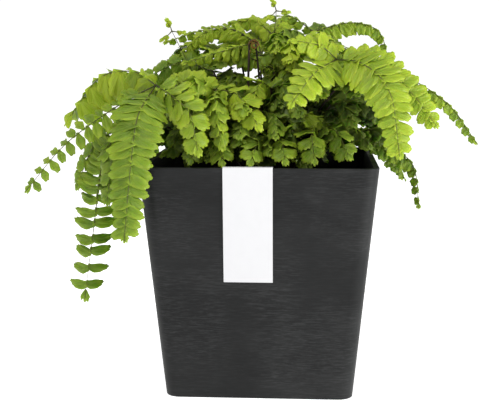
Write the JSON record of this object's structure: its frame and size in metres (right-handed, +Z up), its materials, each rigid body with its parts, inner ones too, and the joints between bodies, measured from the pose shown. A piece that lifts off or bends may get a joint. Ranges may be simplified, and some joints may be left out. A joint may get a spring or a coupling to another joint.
{
  "type": "potted fern",
  "caption": "Maidenhair fern with arching forked fronds and lobed leaflets, growing in a square tapered planter with a blank card tag over the rim.",
  "frame": {"origin": "middle of the planter's base, on the surface it stands on", "axes": "+Z up out of the planter, +X to the right along the longest extent of the foliage, -Y to the front where the card tag hangs"},
  "size_m": [0.393, 0.2624, 0.3424],
  "materials": {
    "planter": "matt charcoal recycled plastic with fine brushed streaks",
    "plug": "matt black rubber",
    "soil": "loose damp peat and bark crumbs",
    "rhizome": "dark scaly root",
    "card": "plain white uncoated card",
    "leaf": "fresh satin leaf, light and dark green",
    "young_leaf": "tender yellow-green leaf",
    "young_stalk": "glossy brown-red young stalk"
  },
  "bodies": {
    "root": {"planter": "planter", "drain_plug": "plug", "potting_soil": "soil", "rhizome": "rhizome", "label_card": "card", "frond_left_front": "leaf", "frond_left_low": "leaf", "frond_centre_left": "leaf", "frond_top_left": "leaf", "frond_right_front": "leaf", "frond_right_far": "leaf", "frond_top_right": "leaf", "frond_right_low": "leaf", "frond_front_left": "leaf", "frond_front": "leaf", "frond_front_right": "leaf", "frond_centre": "leaf", "frond_centre_right": "leaf", "frond_right": "leaf", "frond_inner_right": "leaf", "frond_left": "leaf", "frond_upper_left": "leaf", "frond_inner_left": "leaf", "frond_inner_front": "leaf", "frond_top": "leaf", "frond_top_rear": "leaf", "frond_outer_right_rear": "leaf", "frond_outer_rear_right": "leaf", "frond_outer_rear": "leaf", "frond_outer_rear_left": "leaf", "frond_outer_left_rear": "leaf", "frond_middle_right_rear": "leaf", "frond_middle_rear_right": "leaf", "frond_middle_rear": "leaf", "frond_middle_rear_left": "leaf", "frond_middle_left": "leaf", "frond_inner_rear_right": "leaf", "frond_inner_rear": "leaf", "frond_inner_rear_left": "leaf", "crozier_brown": "young_stalk", "crozier_green": "young_leaf", "sprig_left": "young_leaf", "sprig_top": "young_leaf"}
  },
  "joints": []
}
